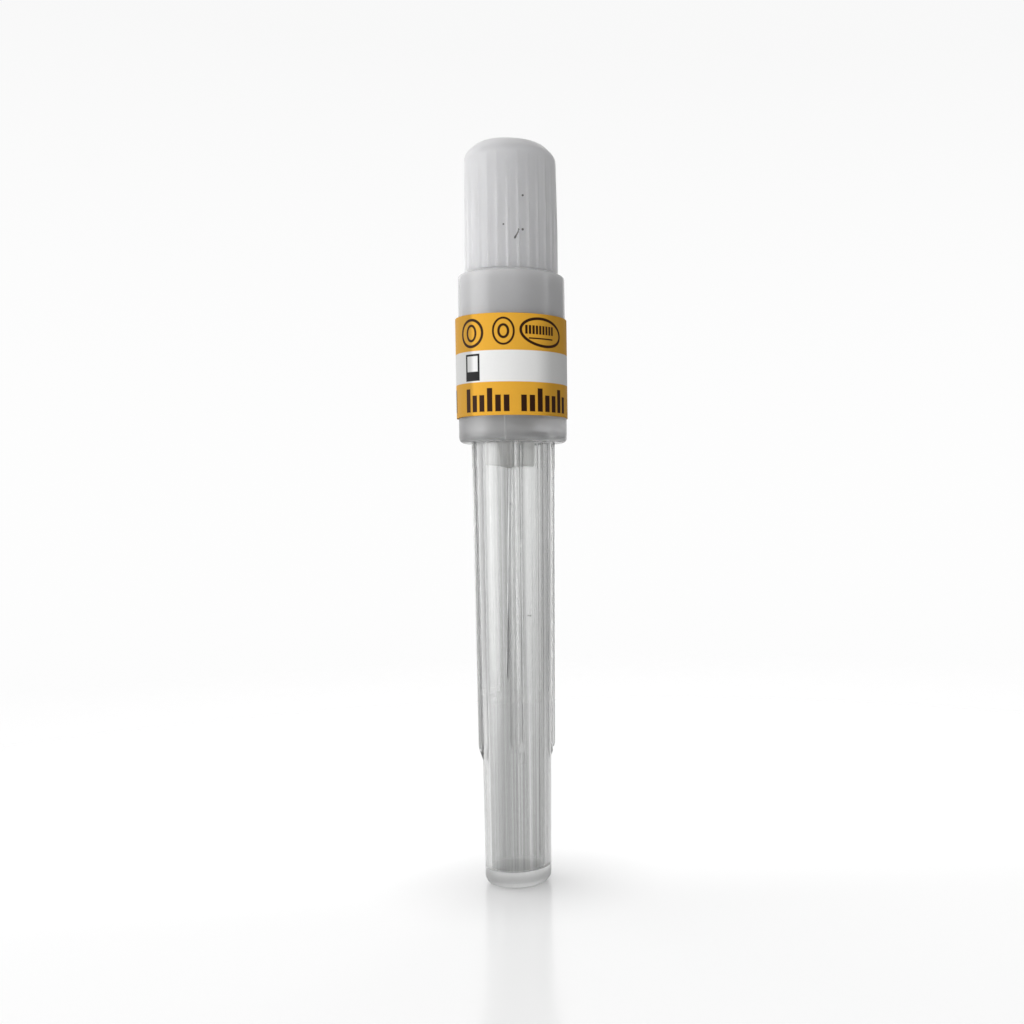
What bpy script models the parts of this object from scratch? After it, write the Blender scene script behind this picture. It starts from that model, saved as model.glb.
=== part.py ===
"""Disposable dental injection needle in its sealed two-part case.

The case stands on the closed end of its clear sheath, with its axis along +Z and its origin at the
centre of the foot. Sizes are in millimetres and angles in degrees; MM turns them into metres.
Heights are measured up from the foot, unless a name says otherwise.
"""

import math

import bmesh
import bpy
from mathutils import Matrix

MM = 0.001

# Facets and rounds
CASE_SEGMENTS = 56
HUB_SEGMENTS = 32
CANNULA_SEGMENTS = 16
ROUND_STEPS = 3
SMALLEST_ROUND = 0.2
MERGE_DISTANCE = 1e-7
SHARP_ANGLE = 32.0

# Clearances between pieces
SEAT_CLEARANCE = 0.1
SLIDE_CLEARANCE = 0.08
LABEL_CLEARANCE = 0.025
BOND_CLEARANCE = 0.02
HUB_CLEARANCE = 0.18
FLANGE_CLEARANCE = 0.25
FIN_CLEARANCE = 0.15

# Sheath: tube
TUBE_LENGTH = 43.7
TUBE_FOOT_RADIUS = 3.24
TUBE_TOP_RADIUS = 3.75
TUBE_FOOT_WALL = 0.62
TUBE_TOP_WALL = 0.81
FLOOR_THICKNESS = 1.5
FOOT_ROUND = 0.9
FLOOR_ROUND = 0.35

# Sheath: ribs
RIB_COUNT = 4
RIB_WIDTH = 0.5
RIB_FOOT_HEIGHT = 0.41
RIB_TOP_HEIGHT = 0.37
RIB_START = 13.5
RIB_RUNOUT = 1.25
RIB_PHASE = 7.0

# Sheath: collar and spigot
COLLAR_HEIGHT = 8.15
COLLAR_STEP = 0.035
COLLAR_ROUND = 0.55
LEDGE_THICKNESS = 0.9
LEDGE_LEAD = 0.3
SPIGOT_HEIGHT = 5.2
SPIGOT_WALL = 0.515
EDGE_BREAK = 0.1

# Cap
CAP_TOP_THICKNESS = 1.0
CAP_TOP_ROUND = 1.7
SKIRT_RADIUS = 5.275
SKIRT_DRAFT = 0.03
SKIRT_WALL = 0.68
SKIRT_ROOM = 1.95
SHOULDER_ROUND = 0.25
SHOULDER_RISE = 0.3
GRIP_HEIGHT = 13.25
GRIP_FOOT_RADIUS = 4.48
GRIP_TOP_RADIUS = 4.52
GRIP_WALL = 0.82
RIDGE_COUNT = 28
RIDGE_WIDTH = 0.36
RIDGE_HEIGHT = 0.17
RIDGE_PHASE = -4.0

# Label
LABEL_HEIGHT = 9.8
LABEL_BELOW_JOINT = 5.7
LABEL_THICKNESS = 0.08
WHITE_BAND_START = 3.35
WHITE_BAND_HEIGHT = 3.0
LABEL_START_ANGLE = 205.0
LABEL_OVERLAP = 3.1
LABEL_RISE_ANGLE = 60.0
LABEL_LAYER_GAP = 0.03
LABEL_LOOSE_TOP = 0.05

# Needle
NEEDLE_LEAN = 1.35
FLANGE_THICKNESS = 1.0
HUB_LENGTH = 16.9
HUB_SKIRT_LENGTH = 8.3
HUB_WALL = 0.8
HUB_FLOOR_RISE = 0.55
HUB_CONE_LENGTH = 3.0
HUB_CONE_RADIUS = 1.45
NOSE_RADIUS = 0.95
NOSE_WALL = 0.45
THREAD_LEAD = 0.3
FIN_COUNT = 4
FIN_THICKNESS = 0.7
CANNULA_RADIUS = 0.15
CANNULA_WALL = 0.075
CANNULA_REACH = 21.6
CANNULA_REAR_REACH = 5.3
TIP_BEVEL = 14.0
REAR_BEVEL = 30.0
BEAD_DEPTH = 1.3
BEAD_DOME = 0.15

# Radii that follow from the sizes above
LEAN_SLOPE = math.tan(math.radians(NEEDLE_LEAN))
SKIRT_BORE_RADIUS = SKIRT_RADIUS - SKIRT_WALL
COLLAR_RADIUS = SKIRT_RADIUS + COLLAR_STEP
SPIGOT_RADIUS = SKIRT_BORE_RADIUS - SLIDE_CLEARANCE
CHAMBER_RADIUS = SPIGOT_RADIUS - SPIGOT_WALL
FLANGE_RADIUS = SKIRT_BORE_RADIUS - FLANGE_CLEARANCE
HUB_RADIUS = CHAMBER_RADIUS - HUB_CLEARANCE - LEAN_SLOPE * (HUB_SKIRT_LENGTH - FLANGE_THICKNESS)
CANNULA_BORE_RADIUS = CANNULA_RADIUS - CANNULA_WALL
BEAD_RADIUS = NOSE_RADIUS - NOSE_WALL

# Heights that follow from the sizes above
JOINT_HEIGHT = TUBE_LENGTH + COLLAR_HEIGHT
RIM_HEIGHT = JOINT_HEIGHT + SPIGOT_HEIGHT
CHAMBER_FLOOR = TUBE_LENGTH + LEDGE_THICKNESS
FLANGE_SEAT = RIM_HEIGHT + SEAT_CLEARANCE + LEAN_SLOPE * FLANGE_RADIUS
CAP_FOOT = JOINT_HEIGHT + SEAT_CLEARANCE
SHOULDER_HEIGHT = FLANGE_SEAT + FLANGE_THICKNESS + SKIRT_ROOM
GRIP_FOOT = SHOULDER_HEIGHT + SHOULDER_RISE
CAP_TOP = SHOULDER_HEIGHT + GRIP_HEIGHT


def on_line(start, end, share):
    """The value a share of the way from start to end."""
    return start + (end - start) * share


def tube_radius(height):
    """Outer radius of the sheath's tapered tube."""
    return on_line(TUBE_FOOT_RADIUS, TUBE_TOP_RADIUS, height / TUBE_LENGTH)


def bore_radius(height):
    """Inner radius of the sheath's tapered tube."""
    wall = on_line(TUBE_FOOT_WALL, TUBE_TOP_WALL, height / TUBE_LENGTH)
    return tube_radius(height) - wall


def rib_crest_radius(height):
    """Radius of the outer face of the sheath's ribs."""
    return tube_radius(height) + on_line(RIB_FOOT_HEIGHT, RIB_TOP_HEIGHT, height / TUBE_LENGTH)


def material(name, color, roughness, alpha=1.0):
    """A Principled material of one colour."""
    made = bpy.data.materials.new(name)
    made.use_nodes = True
    shader = made.node_tree.nodes["Principled BSDF"]
    shader.inputs["Base Color"].default_value = (*color, 1.0)
    shader.inputs["Roughness"].default_value = roughness
    shader.inputs["Alpha"].default_value = alpha
    return made


def steel(name, color, roughness):
    """A bare metal material."""
    made = material(name, color, roughness)
    made.node_tree.nodes["Principled BSDF"].inputs["Metallic"].default_value = 1.0
    return made


def rounded(corners):
    """Turn (radius, height, round) corners into an outline, each round cut as an arc."""
    outline = []
    for index, (radius, height, size) in enumerate(corners):
        if not size:
            outline.append((radius, height))
            continue
        here = complex(radius, height)
        before = complex(*corners[index - 1][:2]) - here
        after = complex(*corners[(index + 1) % len(corners)][:2]) - here
        before /= abs(before)
        after /= abs(after)
        half = math.acos(max(-1.0, min(1.0, (before * after.conjugate()).real))) / 2
        middle = (before + after) / abs(before + after)
        centre = here + middle * size / math.sin(half)
        first = here + before * size / math.tan(half) - centre
        last = here + after * size / math.tan(half) - centre
        turn = math.atan2((last * first.conjugate()).imag, (last * first.conjugate()).real)
        steps = ROUND_STEPS if size >= SMALLEST_ROUND else 1
        for step in range(steps + 1):
            angle = turn * step / steps
            point = centre + first * complex(math.cos(angle), math.sin(angle))
            outline.append((point.real, point.imag))
    return outline


def finish(mesh, name, materials):
    """Put a bmesh in a new named object, shaded smooth between its sharp edges."""
    bmesh.ops.recalc_face_normals(mesh, faces=mesh.faces)
    data = bpy.data.meshes.new(name)
    mesh.to_mesh(data)
    mesh.free()
    data.shade_smooth()
    data.set_sharp_from_angle(angle=math.radians(SHARP_ANGLE))
    made = bpy.data.objects.new(name, data)
    bpy.context.scene.collection.objects.link(made)
    for one in materials:
        data.materials.append(one)
    return made


def spun(outline, segments, closed):
    """Spin an outline of (radius, height) points once round +Z."""
    mesh = bmesh.new()
    points = [mesh.verts.new((radius * MM, 0.0, height * MM)) for radius, height in outline]
    pairs = list(zip(points, points[1:]))
    if closed:
        pairs.append((points[-1], points[0]))
    edges = [mesh.edges.new(pair) for pair in pairs]
    bmesh.ops.spin(mesh, geom=points + edges, axis=(0, 0, 1), cent=(0, 0, 0),
                   angle=math.tau, steps=segments, use_merge=True)
    bmesh.ops.remove_doubles(mesh, verts=mesh.verts, dist=MERGE_DISTANCE)
    return mesh


def fins(name, outline, width, count, phase):
    """Radial plates round +Z, each the outline in (radius, height) given a width."""
    mesh = bmesh.new()
    for index in range(count):
        flat = [mesh.verts.new((radius * MM, -width * MM / 2, height * MM))
                for radius, height in outline]
        face = mesh.faces.new(flat)
        grown = bmesh.ops.extrude_face_region(mesh, geom=[face])["geom"]
        moved = [part for part in grown if isinstance(part, bmesh.types.BMVert)]
        bmesh.ops.translate(mesh, verts=moved, vec=(0, width * MM, 0))
        angle = math.radians(phase) + math.tau * index / count
        bmesh.ops.rotate(mesh, verts=flat + moved, cent=(0, 0, 0),
                         matrix=Matrix.Rotation(angle, 3, "Z"))
    made = finish(mesh, name, [])
    made.hide_render = True
    made.display_type = "WIRE"
    return made


def unite(body, plates):
    """Grow the plates onto the body."""
    union = body.modifiers.new(plates.name, "BOOLEAN")
    union.operation = "UNION"
    union.solver = "EXACT"
    union.object = plates
    plates.parent = body


def axis_empty(name, height, lean=0.0):
    """An empty on the case's axis, which carries the pieces that pull off together."""
    made = bpy.data.objects.new(name, None)
    made.location = (0, 0, height * MM)
    made.rotation_euler = (0, math.radians(lean), 0)
    made.empty_display_size = TUBE_FOOT_RADIUS * MM
    bpy.context.scene.collection.objects.link(made)
    return made


def make_sheath():
    """Clear tube with a closed foot, ribs, a wide collar and the spigot that the cap sleeves."""
    outline = rounded([
        (0, 0, 0),
        (TUBE_FOOT_RADIUS, 0, FOOT_ROUND),
        (TUBE_TOP_RADIUS, TUBE_LENGTH, EDGE_BREAK),
        (COLLAR_RADIUS, TUBE_LENGTH, COLLAR_ROUND),
        (COLLAR_RADIUS, JOINT_HEIGHT, EDGE_BREAK),
        (SPIGOT_RADIUS, JOINT_HEIGHT, 0),
        (SPIGOT_RADIUS, RIM_HEIGHT, EDGE_BREAK),
        (CHAMBER_RADIUS, RIM_HEIGHT, EDGE_BREAK),
        (CHAMBER_RADIUS, CHAMBER_FLOOR, EDGE_BREAK),
        (bore_radius(CHAMBER_FLOOR) + LEDGE_LEAD, CHAMBER_FLOOR, 0),
        (bore_radius(CHAMBER_FLOOR - LEDGE_LEAD), CHAMBER_FLOOR - LEDGE_LEAD, 0),
        (bore_radius(FLOOR_THICKNESS), FLOOR_THICKNESS, FLOOR_ROUND),
        (0, FLOOR_THICKNESS, 0),
    ])
    clear = material("clear_plastic", (0.80, 0.81, 0.81), 0.12, 0.35)
    sheath = finish(spun(outline, CASE_SEGMENTS, closed=False), "sheath", [clear])
    runout = RIB_START - RIB_RUNOUT
    root = TUBE_FOOT_WALL / 2
    top = TUBE_LENGTH + LEDGE_THICKNESS / 3
    ribs = fins("sheath_ribs", [
        (tube_radius(runout) - root, runout - root),
        (tube_radius(runout), runout),
        (rib_crest_radius(RIB_START), RIB_START),
        (rib_crest_radius(top), top),
        (tube_radius(top) - root, top),
    ], RIB_WIDTH, RIB_COUNT, RIB_PHASE - 90.0)
    unite(sheath, ribs)
    return sheath


def make_cap():
    """White cap: a plain skirt over the spigot and a ridged grip closed on top."""
    inner_foot = GRIP_FOOT_RADIUS - GRIP_WALL
    inner_top = GRIP_TOP_RADIUS - GRIP_WALL
    ceiling = CAP_TOP - CAP_TOP_THICKNESS
    skirt_ceiling = SHOULDER_HEIGHT - SKIRT_WALL
    outline = rounded([
        (0, ceiling, 0),
        (inner_top, ceiling, CAP_TOP_ROUND / 2),
        (inner_foot, GRIP_FOOT, 0),
        (SKIRT_BORE_RADIUS, skirt_ceiling, 0),
        (SKIRT_BORE_RADIUS, CAP_FOOT, EDGE_BREAK),
        (SKIRT_RADIUS, CAP_FOOT, EDGE_BREAK),
        (SKIRT_RADIUS - SKIRT_DRAFT, SHOULDER_HEIGHT, SHOULDER_ROUND),
        (GRIP_FOOT_RADIUS, GRIP_FOOT, 0),
        (GRIP_TOP_RADIUS, CAP_TOP, CAP_TOP_ROUND),
        (0, CAP_TOP, 0),
    ])
    white = material("white_plastic", (0.78, 0.78, 0.77), 0.38)
    cap = finish(spun(outline, CASE_SEGMENTS, closed=False), "cap", [white])
    run_out = CAP_TOP - CAP_TOP_ROUND
    root = GRIP_WALL / 3
    ridges = fins("cap_ridges", [
        (GRIP_FOOT_RADIUS - root, GRIP_FOOT - root / 2),
        (GRIP_FOOT_RADIUS + RIDGE_HEIGHT, SHOULDER_HEIGHT),
        (GRIP_TOP_RADIUS, run_out),
        (GRIP_TOP_RADIUS - root, run_out),
    ], RIDGE_WIDTH, RIDGE_COUNT, RIDGE_PHASE - 90.0)
    unite(cap, ridges)
    return cap


def label_radius(angle, share):
    """Inner radius of the wrapped strip, an angle past its start and a share of its height up.

    The strip lies snug on the collar, then lifts over its own start, most at its upper edge.
    """
    snug = COLLAR_RADIUS + LABEL_CLEARANCE
    along = max(0.0, min(1.0, 1.0 + (angle - 360.0) / LABEL_RISE_ANGLE))
    eased = along * along * (3.0 - 2.0 * along)
    lifted = LABEL_THICKNESS + LABEL_LAYER_GAP + LABEL_LOOSE_TOP * share
    return snug + eased * lifted


def make_label():
    """Seal of three printed bands, wrapped once round the joint so that its ends overlap."""
    total = 360.0 + math.degrees(LABEL_OVERLAP / COLLAR_RADIUS)
    columns = math.ceil(total / 360.0 * CASE_SEGMENTS)
    foot = JOINT_HEIGHT - LABEL_BELOW_JOINT
    edges = [0.0, WHITE_BAND_START, WHITE_BAND_START + WHITE_BAND_HEIGHT, LABEL_HEIGHT]
    mesh = bmesh.new()
    grid = []
    for column in range(columns + 1):
        along = total * column / columns
        angle = math.radians(LABEL_START_ANGLE - along)
        line = []
        for edge in edges:
            radius = label_radius(along, edge / LABEL_HEIGHT) * MM
            place = (radius * math.cos(angle), radius * math.sin(angle), (foot + edge) * MM)
            line.append(mesh.verts.new(place))
        grid.append(line)
    for left, right in zip(grid, grid[1:]):
        for row in range(len(edges) - 1):
            face = mesh.faces.new((left[row], left[row + 1], right[row + 1], right[row]))
            face.material_index = row % 2
    amber = material("amber_print", (0.68, 0.35, 0.04), 0.45)
    white = material("white_print", (0.80, 0.80, 0.79), 0.45)
    label = finish(mesh, "label", [amber, white])
    paper = label.modifiers.new("paper", "SOLIDIFY")
    paper.thickness = LABEL_THICKNESS * MM
    paper.offset = 1.0
    return label


def make_hub():
    """Natural plastic hub: flange, threaded rear skirt, cone and finned nose, on its own axis."""
    rear = FLANGE_THICKNESS
    skirt_end = rear - HUB_SKIRT_LENGTH
    cone_end = skirt_end - HUB_CONE_LENGTH
    nose_end = rear - HUB_LENGTH
    thread_radius = HUB_RADIUS - HUB_WALL
    hole = CANNULA_RADIUS + BOND_CLEARANCE
    floor = skirt_end + HUB_FLOOR_RISE
    outline = rounded([
        (thread_radius + THREAD_LEAD, rear, 0),
        (FLANGE_RADIUS, rear, EDGE_BREAK),
        (FLANGE_RADIUS, 0, EDGE_BREAK),
        (HUB_RADIUS, 0, 0),
        (HUB_RADIUS, skirt_end, EDGE_BREAK),
        (HUB_CONE_RADIUS, cone_end, 0),
        (NOSE_RADIUS, nose_end, EDGE_BREAK),
        (BEAD_RADIUS, nose_end, 0),
        (BEAD_RADIUS, nose_end + BEAD_DEPTH, 0),
        (hole, nose_end + BEAD_DEPTH, 0),
        (hole, floor, 0),
        (thread_radius, floor, EDGE_BREAK),
        (thread_radius, rear - THREAD_LEAD, 0),
    ])
    natural = material("natural_plastic", (0.74, 0.74, 0.72), 0.35)
    hub = finish(spun(outline, HUB_SEGMENTS, closed=True), "hub", [natural])
    shift = LEAN_SLOPE * (HUB_LENGTH - rear)
    tip_radius = bore_radius(FLANGE_SEAT + nose_end) - shift - FIN_CLEARANCE
    up_cone = (tip_radius - HUB_CONE_RADIUS) / (HUB_RADIUS - HUB_CONE_RADIUS)
    fin_top = on_line(cone_end, skirt_end, up_cone) + EDGE_BREAK
    root = (NOSE_RADIUS + BEAD_RADIUS) / 2
    plates = fins("hub_fins", [
        (root, nose_end + EDGE_BREAK),
        (tip_radius, nose_end + EDGE_BREAK),
        (tip_radius, fin_top),
        (root, fin_top),
    ], FIN_THICKNESS, FIN_COUNT, 0.0)
    unite(hub, plates)
    return hub


def make_cannula():
    """Fine steel tube, open from end to end and ground to a slant at both ends."""
    tip = FLANGE_THICKNESS - HUB_LENGTH - CANNULA_REACH
    rear = FLANGE_THICKNESS + CANNULA_REAR_REACH
    outline = [
        (CANNULA_BORE_RADIUS, rear),
        (CANNULA_RADIUS, rear),
        (CANNULA_RADIUS, tip),
        (CANNULA_BORE_RADIUS, tip),
    ]
    mesh = spun(outline, CANNULA_SEGMENTS, closed=True)
    middle = (tip + rear) / 2 * MM
    for vert in mesh.verts:
        inset = CANNULA_RADIUS * MM - vert.co.x
        if vert.co.z < middle:
            vert.co.z += inset / math.tan(math.radians(TIP_BEVEL))
        else:
            vert.co.z -= inset / math.tan(math.radians(REAR_BEVEL))
    bright = steel("cannula_steel", (0.62, 0.62, 0.63), 0.25)
    return finish(mesh, "cannula", [bright])


def make_adhesive():
    """Bead that bonds the cannula in the well of the hub's nose."""
    nose_end = FLANGE_THICKNESS - HUB_LENGTH
    inner = CANNULA_RADIUS + BOND_CLEARANCE
    outer = BEAD_RADIUS - BOND_CLEARANCE
    top = nose_end + BEAD_DEPTH - BOND_CLEARANCE
    outline = [
        (inner, top),
        (outer, top),
        (outer, nose_end),
        (on_line(outer, inner, 0.4), nose_end - BEAD_DOME * 0.7),
        (inner, nose_end - BEAD_DOME),
    ]
    glue = material("adhesive", (0.72, 0.70, 0.62), 0.2)
    return finish(spun(outline, CANNULA_SEGMENTS, closed=True), "adhesive", [glue])


def main():
    """Clear the scene and stand the closed case in it."""
    for old in list(bpy.data.objects):
        bpy.data.objects.remove(old)
    make_sheath()
    make_label()
    needle_axis = axis_empty("needle_axis", FLANGE_SEAT, NEEDLE_LEAN)
    for piece in (make_hub(), make_cannula(), make_adhesive()):
        piece.parent = needle_axis
    cap = make_cap()
    cap.parent = axis_empty("cap_axis", CAP_FOOT)
    cap.location.z = -CAP_FOOT * MM


main()
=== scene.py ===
"""Looks of a dental needle in its sealed case.

The packed model is the frame: each piece stands where its node stands, in metres, with +Z up the
case and the viewer of the photo at -Y. Lengths are written in millimetres, and MM turns them into
metres.
"""

import math

import bmesh
import bpy
from mathutils import Matrix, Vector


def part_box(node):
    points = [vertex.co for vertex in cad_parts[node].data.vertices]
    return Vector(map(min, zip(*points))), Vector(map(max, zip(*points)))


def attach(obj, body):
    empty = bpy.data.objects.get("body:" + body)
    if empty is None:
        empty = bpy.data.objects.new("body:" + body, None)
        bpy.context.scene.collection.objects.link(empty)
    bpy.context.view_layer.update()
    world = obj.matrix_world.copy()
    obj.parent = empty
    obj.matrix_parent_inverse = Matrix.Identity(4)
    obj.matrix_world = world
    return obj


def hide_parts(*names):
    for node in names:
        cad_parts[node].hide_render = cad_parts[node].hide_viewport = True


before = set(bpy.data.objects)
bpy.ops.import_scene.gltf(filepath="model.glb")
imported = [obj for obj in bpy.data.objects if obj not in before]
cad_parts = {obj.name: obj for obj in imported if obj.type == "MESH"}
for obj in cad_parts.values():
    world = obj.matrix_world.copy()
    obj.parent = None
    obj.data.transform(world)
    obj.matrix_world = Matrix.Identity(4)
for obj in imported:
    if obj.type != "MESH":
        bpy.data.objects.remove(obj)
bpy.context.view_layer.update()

bl_info = {
    "name": "Dental needle in sealed case",
    "version": (1, 0, 0),
    "blender": (4, 5, 0),
    "location": "View3D > Sidebar > Needle case",
    "description": "Clear ribbed sheath, fluted cap, seal and needle, with a studio to see them in",
    "category": "Object",
}

MM = 0.001
TINY = 1e-7
BLACK = (0.0, 0.0, 0.0)
WHITE = (1.0, 1.0, 1.0)

# Fineness of the meshes
SHARP_ANGLE = math.radians(34.0)
ROUND_STEPS = 5
RING_STEP = 1.0 * MM
HOLD = 0.06 * MM
RUNOUT_STEPS = 8
THREAD_STEPS = 8
DOME_STEPS = 6
FIN_EDGE_STEPS = 3
HUB_SIDES = 72
CANNULA_SIDES = 32
BEAD_SIDES = 40
LABEL_COLUMNS = 260
LABEL_ROWS = 14
FLOOR_SIDES = 96

# Where a rib or ridge runs on to a wider face, it fades out over this many of its own heights
FADE_HEIGHTS = 3

# A ridge is a wedge this many times its height, cut off at its height: it thins only near the top
RIDGE_WEDGE = 1.6

# Sockets of a Mix node set to colours
MIX_FACTOR = 0
MIX_A = 6
MIX_B = 7
MIX_RESULT = 2

SHEATH_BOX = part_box("sheath")
CAP_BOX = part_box("cap")
LABEL_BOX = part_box("label")


def length(name, metres, about):
    """A length that a user can change."""
    return bpy.props.FloatProperty(name=name, description=about, default=metres, min=0.0,
                                   unit="LENGTH", precision=6)


def turn(name, degrees, about):
    """An angle that a user can change."""
    return bpy.props.FloatProperty(name=name, description=about, default=math.radians(degrees),
                                   unit="ROTATION", precision=4)


def share(name, value, about):
    """A part of one that a user can change."""
    return bpy.props.FloatProperty(name=name, description=about, default=value, min=0.0,
                                   soft_max=1.0, subtype="FACTOR")


def brightness(name, value, about):
    """The brightness of a light that a user can change; one is white."""
    return bpy.props.FloatProperty(name=name, description=about, default=value, min=0.0,
                                   soft_max=5.0)


def count(name, value, about):
    """A number of like features."""
    return bpy.props.IntProperty(name=name, description=about, default=value, min=1)


def colour(name, value, about):
    """A colour that a user can change."""
    return bpy.props.FloatVectorProperty(name=name, description=about, default=value, size=3,
                                         min=0.0, max=1.0, subtype="COLOR")


class SheathSizes(bpy.types.PropertyGroup):
    """Sizes of the clear sheath."""

    tube_length: length("Tube length", 43.7 * MM, "From the foot to the collar")
    foot_radius: length("Foot radius", 3.24 * MM, "Outer radius of the tube at its foot")
    top_radius: length("Top radius", 3.75 * MM, "Outer radius of the tube at the collar")
    foot_wall: length("Foot wall", 0.62 * MM, "Wall of the tube at its foot")
    top_wall: length("Top wall", 0.81 * MM, "Wall of the tube at the collar")
    floor_thickness: length("Floor", 1.5 * MM, "Thickness of the closed end")
    foot_round: length("Foot round", 0.9 * MM, "Round of the foot's outer edge")
    floor_round: length("Floor round", 0.35 * MM, "Round inside the closed end")
    rib_count: count("Ribs", 4, "Ribs around the tube")
    rib_phase: turn("Rib phase", 7.0, "Turn of the first rib from the front")
    rib_width: length("Rib width", 0.52 * MM, "Width of a rib")
    rib_round: length("Rib round", 0.16 * MM, "Rounds of a rib's edges")
    rib_foot_height: length("Rib height, foot", 0.41 * MM, "How far a rib would stand at the foot")
    rib_top_height: length("Rib height, top", 0.37 * MM, "How far a rib stands at the collar")
    rib_start: length("Rib start", 13.5 * MM, "Height at which a rib is full")
    rib_runout: length("Rib run-out", 1.25 * MM, "Length over which a rib dies out")
    collar_radius: length("Collar radius", SHEATH_BOX[1].x, "Outer radius of the collar")
    collar_height: length("Collar height", 8.15 * MM, "Height of the collar")
    collar_round: length("Collar round", 0.55 * MM, "Round of the collar's lower edge")
    ledge: length("Ledge", 0.9 * MM, "Thickness of the collar's floor")
    ledge_lead: length("Ledge lead", 0.3 * MM, "Lead-in from the collar to the bore")
    spigot_radius: length("Spigot radius", 4.515 * MM, "Outer radius of the spigot")
    spigot_wall: length("Spigot wall", 0.515 * MM, "Wall of the spigot")
    rim_height: length("Rim height", SHEATH_BOX[1].z, "Top of the spigot")
    edge_break: length("Edge break", 0.1 * MM, "Small round on the edges")


class CapSizes(bpy.types.PropertyGroup):
    """Sizes of the white cap."""

    foot: length("Foot", CAP_BOX[0].z, "Height of the skirt's lower edge")
    top: length("Top", CAP_BOX[1].z, "Height of the closed top")
    top_thickness: length("Top thickness", 1.0 * MM, "Thickness of the closed top")
    top_round: length("Top round", 1.3 * MM, "Rounds of the top's sloping edge")
    slope_height: length("Slope height", 1.2 * MM, "Height of the top's sloping edge")
    slope_width: length("Slope width", 1.3 * MM, "Width of the top's sloping edge")
    skirt_radius: length("Skirt radius", CAP_BOX[1].x, "Outer radius of the skirt")
    skirt_draft: length("Skirt draft", 0.03 * MM, "How much the skirt narrows upwards")
    skirt_wall: length("Skirt wall", 0.68 * MM, "Wall of the skirt")
    grip_height: length("Grip height", 13.25 * MM, "From the shoulder to the top")
    grip_foot_radius: length("Grip radius, foot", 4.48 * MM, "Radius between ridges at the foot")
    grip_top_radius: length("Grip radius, top", 4.52 * MM, "Radius between ridges at the top")
    grip_wall: length("Grip wall", 0.82 * MM, "Wall of the grip")
    shoulder_rise: length("Shoulder rise", 0.3 * MM, "Rise of the sloping shoulder")
    shoulder_round: length("Shoulder round", 0.25 * MM, "Round of the shoulder's edge")
    ridge_count: count("Ridges", 28, "Ridges around the grip")
    ridge_phase: turn("Ridge phase", -4.0, "Turn of the first ridge from the front")
    ridge_width: length("Ridge width", 0.24 * MM, "Width of a ridge")
    ridge_round: length("Ridge round", 0.09 * MM, "Rounds of a ridge's edges")
    ridge_height: length("Ridge height", 0.13 * MM, "How far a ridge stands at the foot")
    edge_break: length("Edge break", 0.1 * MM, "Small round on the edges")


class LabelSizes(bpy.types.PropertyGroup):
    """Sizes and inks of the printed seal."""

    foot: length("Foot", LABEL_BOX[0].z, "Height of the lower edge")
    height: length("Height", LABEL_BOX[1].z - LABEL_BOX[0].z, "Width of the strip")
    radius: length("Radius", 5.335 * MM, "Inner radius where the strip lies snug")
    thickness: length("Thickness", 0.08 * MM, "Thickness of the paper")
    white_start: length("White start", 3.21 * MM, "Where the white band starts")
    white_height: length("White height", 3.02 * MM, "Width of the white band")
    start: turn("Start", 205.0, "Where the strip's inner end lies")
    overlap: length("Overlap", 3.1 * MM, "How far the strip laps over its start")
    rise: turn("Rise", 60.0, "Turn over which the strip lifts over its start")
    layer_gap: length("Layer gap", 0.03 * MM, "Air between the two layers")
    loose_top: length("Loose top", 0.05 * MM, "Extra lift of the loose upper corner")
    amber: colour("Amber", (0.80, 0.41, 0.04), "Printed bands")
    white: colour("White", (0.82, 0.82, 0.81), "Bare paper")
    brown: colour("Brown ink", (0.028, 0.009, 0.002), "Ink on the amber bands")
    black: colour("Black ink", (0.014, 0.014, 0.014), "Ink on the white band")


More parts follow.
